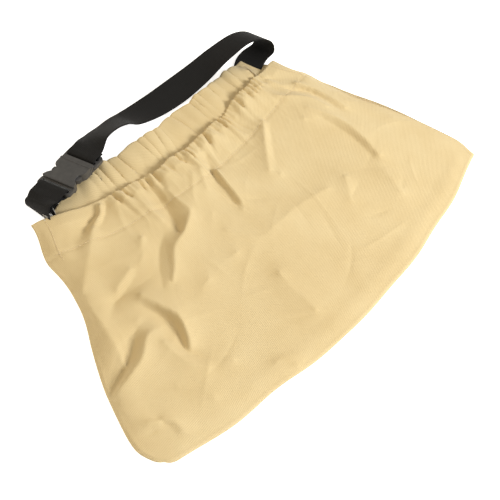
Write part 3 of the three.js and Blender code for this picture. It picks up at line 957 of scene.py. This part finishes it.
STITCH_PITCH, STITCH_LENGTH, THREAD_RADIUS = 3.4, 2.8, 0.36
STITCH_RINGS = ((-0.5, 0.25), (-0.44, 0.7), (-0.2, 1.0), (0.2, 1.0), (0.44, 0.7), (0.5, 0.25))
STITCH_SIDES = 7


def stitch_row(name, path):
    """A row of lock stitches: short plump lengths of thread that dip into the cloth at both ends."""
    spots, along_path = resampled(path, STITCH_PITCH)
    up = np.array([0, 0, 1.0])
    shape = bmesh.new()
    for spot, direction in zip(spots, along_path):
        side = np.cross(up, direction)
        side /= max(np.linalg.norm(side), 1e-9)
        lift = np.cross(direction, side)
        rings = []
        for share, size in STITCH_RINGS:
            centre = spot + direction * share * STITCH_LENGTH + lift * (size - 0.6) * THREAD_RADIUS
            ring = []
            for k in range(STITCH_SIDES):
                a = 2 * math.pi * k / STITCH_SIDES
                offset = (side * math.cos(a) + lift * math.sin(a)) * THREAD_RADIUS * size
                ring.append(shape.verts.new((centre + offset) * MM))
            rings.append(ring)
        for first, second in zip(rings[:-1], rings[1:]):
            for k in range(STITCH_SIDES):
                after = (k + 1) % STITCH_SIDES
                shape.faces.new((first[k], first[after], second[after], second[k]))
        shape.faces.new(rings[0][::-1])
        shape.faces.new(rings[-1])
    bmesh.ops.recalc_face_normals(shape, faces=shape.faces)
    return from_bmesh(name, shape, thread)


def thread_line(name, path, radius, material):
    """One thread laid along a path, as a mesh tube."""
    curve = bpy.data.curves.new(name, "CURVE")
    curve.dimensions = "3D"
    curve.bevel_depth = radius * MM
    curve.bevel_resolution = 1
    curve.use_fill_caps = True
    spline = curve.splines.new("POLY")
    spline.points.add(len(path) - 1)
    spline.points.foreach_set("co", np.column_stack([np.asarray(path) * MM, np.ones(len(path))]).ravel())
    draft = bpy.data.objects.new(name + "_draft", curve)
    bpy.context.collection.objects.link(draft)
    mesh = bpy.data.meshes.new_from_object(evaluated(draft))
    bpy.data.objects.remove(draft)
    mesh.name = name
    mesh.materials.clear()
    return mesh_object(name, mesh, material)


OVERLOCK_PITCH, OVERLOCK_HEIGHT, OVERLOCK_RADIUS = 3.2, 1.1, 0.34
ALLOWANCE = (2.5, 9.5)       # the overlock's edges, from the panel's edge inwards
SEAM_Z = CANVAS + 0.5


def overlock(name, outer, inner, node):
    """Overlocked seam allowance: thread that runs over the raw edge and back at every stitch."""
    outer = resampled(outer, OVERLOCK_PITCH)[0]
    shares = np.linspace(0, 1, len(outer))
    inner = np.stack([np.interp(shares, np.linspace(0, 1, len(inner)), inner[:, i]) for i in range(3)], -1)
    path = []
    for k in range(len(outer) - 1):
        path.append(inner[k] + (0, 0, OVERLOCK_HEIGHT))
        path.append(outer[k] + (0, 0, OVERLOCK_HEIGHT))
        path.append(outer[k] - (0, 0, 0.1))
        path.append(inner[k] * 0.5 + inner[k + 1] * 0.5 + (0, 0, 0.1))
    place(thread_line(name, path, OVERLOCK_RADIUS, thread), "bag", "thread", node)


def side_path(hand, inset):
    down = np.linspace(0.2, 0.96, 60)
    half = along(BACK_SIDES, SIDE_STOPS, down)
    x, y = on_panel(BACK_SIDES, back_mouth, hand * (1 - inset / half), down)
    return np.column_stack([x, y, np.full(len(x), SEAM_Z)])


def bottom_path(inset):
    across = np.linspace(-0.96, 0.98, 120)
    x, y = on_panel(BACK_SIDES, back_mouth, across, np.ones(len(across)))
    return np.column_stack([x, y + inset, np.full(len(x), SEAM_Z)])


TACK_HALF_LENGTH, TACK_HALF_WIDTH, TACK_PITCH, TACK_RADIUS = 14, 1.5, 0.8, 0.42


def tack(name, x, node):
    """Bar tack: a dense zigzag of thread that sews a strap's end through the back casing."""
    y = back_mouth(x) - CASING / 2 + 1
    away = np.hypot(back_folded[..., 0] - x, back_folded[..., 1] - y)
    nearest = np.argmin(away - back_folded[..., 2] * 0.2)
    z = back_folded.reshape(-1, 3)[nearest, 2] + CANVAS / 2 + 0.3
    steps = np.arange(-TACK_HALF_LENGTH, TACK_HALF_LENGTH + 0.1, TACK_PITCH)
    path = [(x + TACK_HALF_WIDTH * (-1) ** k, y + step, z) for k, step in enumerate(steps)]
    place(thread_line(name, path, TACK_RADIUS, thread), "bag", "thread", node)


LOOSE_THREADS = 14
FRAYED_X = -196.0


def loose_threads():
    """Frayed ends of the elastic's threads, which stick out of the mouth's left corner."""
    rng = np.random.default_rng(THREAD_SEED)
    corner = np.array([FRAYED_X, front_mouth(FRAYED_X) + 2.5, 10.5])
    shape = bmesh.new()
    for _ in range(LOOSE_THREADS):
        start = corner + rng.uniform(-1, 1, 3) * (9, 1.5, 1.5)
        swing = rng.uniform(-0.9, 0.9)
        reach = rng.uniform(4, 9)
        path = [start + np.array([swing * t * reach * 0.7 - 1.5 * t, t * reach, 2.6 * math.sin(2.2 * t)])
                for t in np.linspace(0, 1, 7)]
        draft = thread_line("loose_thread", path, rng.uniform(0.16, 0.3), elastic)
        shape.from_mesh(draft.data)
        bpy.data.objects.remove(draft)
    place(from_bmesh("frayed_elastic_threads", shape, elastic), "bag", "elastic")


HEM_STITCH_DROP = CASING - 3
ON_ONE_LAYER = CANVAS / 2 + 0.12   # a stitch's middle above the middle of the canvas under it
ON_TWO_LAYERS = 2.06 * CANVAS + 0.1


def all_thread_work():
    loose_threads()
    for name, points, raised in (("front_hem_stitches", front_points, ON_ONE_LAYER),
                                 ("back_hem_stitches", back_points, ON_TWO_LAYERS)):
        hem = at_drop(points, HEM_STITCH_DROP) + raised * at_drop(normals(points), HEM_STITCH_DROP)
        place(stitch_row(name, hem[6:-6]), "bag", "thread")
    up = normals(front_points)
    rows = slice(2, int(0.38 * ROWS))
    for name, column in (("left_side_stitches", 8), ("right_side_stitches", 2 * COLUMNS - 10)):
        path = front_points[rows, column] + ON_ONE_LAYER * up[rows, column]
        place(stitch_row(name, path), "bag", "thread")
    for side, hand in (("left", -1), ("right", 1)):
        outer, inner = (side_path(hand, inset) for inset in ALLOWANCE)
        overlock(side + "_overlock", outer, inner, side + "_seam")
    outer, inner = (bottom_path(inset) for inset in ALLOWANCE)
    overlock("bottom_overlock", outer, inner, "bottom_seam")
    tack("left_tack_thread", -188, "left_strap_tack")
    tack("right_tack_thread", 168, "right_strap_tack")


all_thread_work()


# ---- buckle: side-release, moulded in four pieces ----
CORNER_STEPS = 5


def rounded(points, radius):
    """An outline whose corners are rounded off."""
    points = [Vector(p) for p in points]
    out = []
    for before, here, after in zip(points[-1:] + points[:-1], points, points[1:] + points[:1]):
        back, ahead = before - here, after - here
        start = here + back.normalized() * min(radius, 0.46 * back.length)
        end = here + ahead.normalized() * min(radius, 0.46 * ahead.length)
        for k in range(CORNER_STEPS + 1):
            t = k / CORNER_STEPS
            out.append((1 - t) ** 2 * start + 2 * t * (1 - t) * here + t**2 * end)
    return out


def mirrored(points):
    """The whole outline, from its far half."""
    return points + [(x, -y) for x, y in reversed(points)]


def rectangle(x0, x1, half):
    return [(x0, half), (x0, -half), (x1, -half), (x1, half)]


def plate(outline, thickness):
    """A flat solid in the buckle's frame, in millimetres, as a mesh object."""
    shape = bmesh.new()
    low, high = -thickness / 2, thickness / 2
    bottom = [shape.verts.new((x, y, low)) for x, y in outline]
    top = [shape.verts.new((x, y, high)) for x, y in outline]
    shape.faces.new(bottom)
    shape.faces.new(top)
    for k in range(len(outline)):
        following = (k + 1) % len(outline)
        shape.faces.new((bottom[k], bottom[following], top[following], top[k]))
    bmesh.ops.recalc_face_normals(shape, faces=shape.faces)
    return from_bmesh("plate", shape, plastic)


def combine(target, operation, *others):
    """Joins or cuts moulded solids, and keeps only the result."""
    for other in others:
        m = modifier(target, "BOOLEAN", operation=operation, solver="EXACT", object=other)
        mesh = bpy.data.meshes.new_from_object(evaluated(target))
        target.modifiers.remove(m)
        target.data = mesh
        bpy.data.objects.remove(other)
    return target


def moulded(obj, name, body, node, edge=0.7):
    """Puts a moulded piece in place on the bag, with its edges rounded."""
    obj.name = name
    obj.data.transform(Matrix.Scale(MM, 4) @ BUCKLE_PLACE)
    obj.data.shade_smooth()
    modifier(obj, "BEVEL", width=edge * MM, segments=3, limit_method="ANGLE", angle_limit=math.radians(38),
             harden_normals=True)
    return place(obj, body, "buckle_plastic", node)


def socket():
    body = plate(rounded(mirrored([
        (18, 22), (6.5, 22), (2.5, 19.5), (0.5, 16), (-6.5, 16), (-9.5, 19.5), (-13, 22.2), (-18.5, 23),
    ]), 2.6), 10.4)
    lip = plate(rounded(mirrored([(18, 22.3), (15.4, 22.3)]), 0.8), 11.2)
    shoulder = plate(rounded(mirrored([(-14.5, 22.4), (-17.5, 23.2)]), 0.8), 11.0)
    loop = plate(rounded(mirrored([(-14, 21), (-19, 24), (-27.5, 24), (-30.5, 21)]), 2.2), 4.4)
    room = plate(rectangle(-13, 19, 18.4), 6.6)
    slot = plate(rounded(rectangle(-26.5, -20.5, 20.8), 1.2), 20)
    return combine(combine(body, "UNION", lip, shoulder, loop), "DIFFERENCE", room, slot)


def insert():
    base = plate(rounded(mirrored([(23.4, 22), (18.5, 22)]), 1.0), 9)
    frame_plate = plate(rounded(mirrored([(41, 21), (38, 24), (22.4, 24), (20.4, 22)]), 2.4), 4.4)
    tongue = plate(rounded(mirrored([(19.4, 3.6), (-3, 3.6), (-5, 2.2)]), 1.0), 3.2)
    slots = [plate(rounded(rectangle(x0, x1, 20.8), 1.1), 20) for x0, x1 in ((23.4, 28.8), (32.2, 38))]
    return combine(combine(base, "UNION", frame_plate, tongue), "DIFFERENCE", *slots)


def latch(hand):
    outline = [
        (18.1, 13.6), (18.1, 16.6), (1.8, 15.8), (1.2, 20.4), (-4.8, 20.4), (-8.5, 15.4),
        (-8.5, 12.4), (-4.5, 11.6), (1.2, 13.2),
    ]
    arm = plate(rounded([(x, y * hand) for x, y in outline], 1.1), 5.6)
    ridges = []
    for x in (0.4, -1.4, -3.2):
        ridge = [(x, 19.2 * hand), (x, 20.9 * hand), (x - 0.9, 20.9 * hand), (x - 0.9, 19.2 * hand)]
        ridges.append(plate(rounded(ridge, 0.3), 5.0))
    return combine(arm, "UNION", *ridges)


moulded(socket(), "buckle_socket_shell", "bag", "buckle_socket")
moulded(insert(), "buckle_insert_frame", "insert", "buckle_insert")
moulded(latch(-1), "near_latch_arm", "near_latch", "near_latch", 0.4)
moulded(latch(1), "far_latch_arm", "far_latch", "far_latch", 0.4)


# ---- the view and the stage ----
make_camera()
make_stage()
bpy.context.view_layer.update()
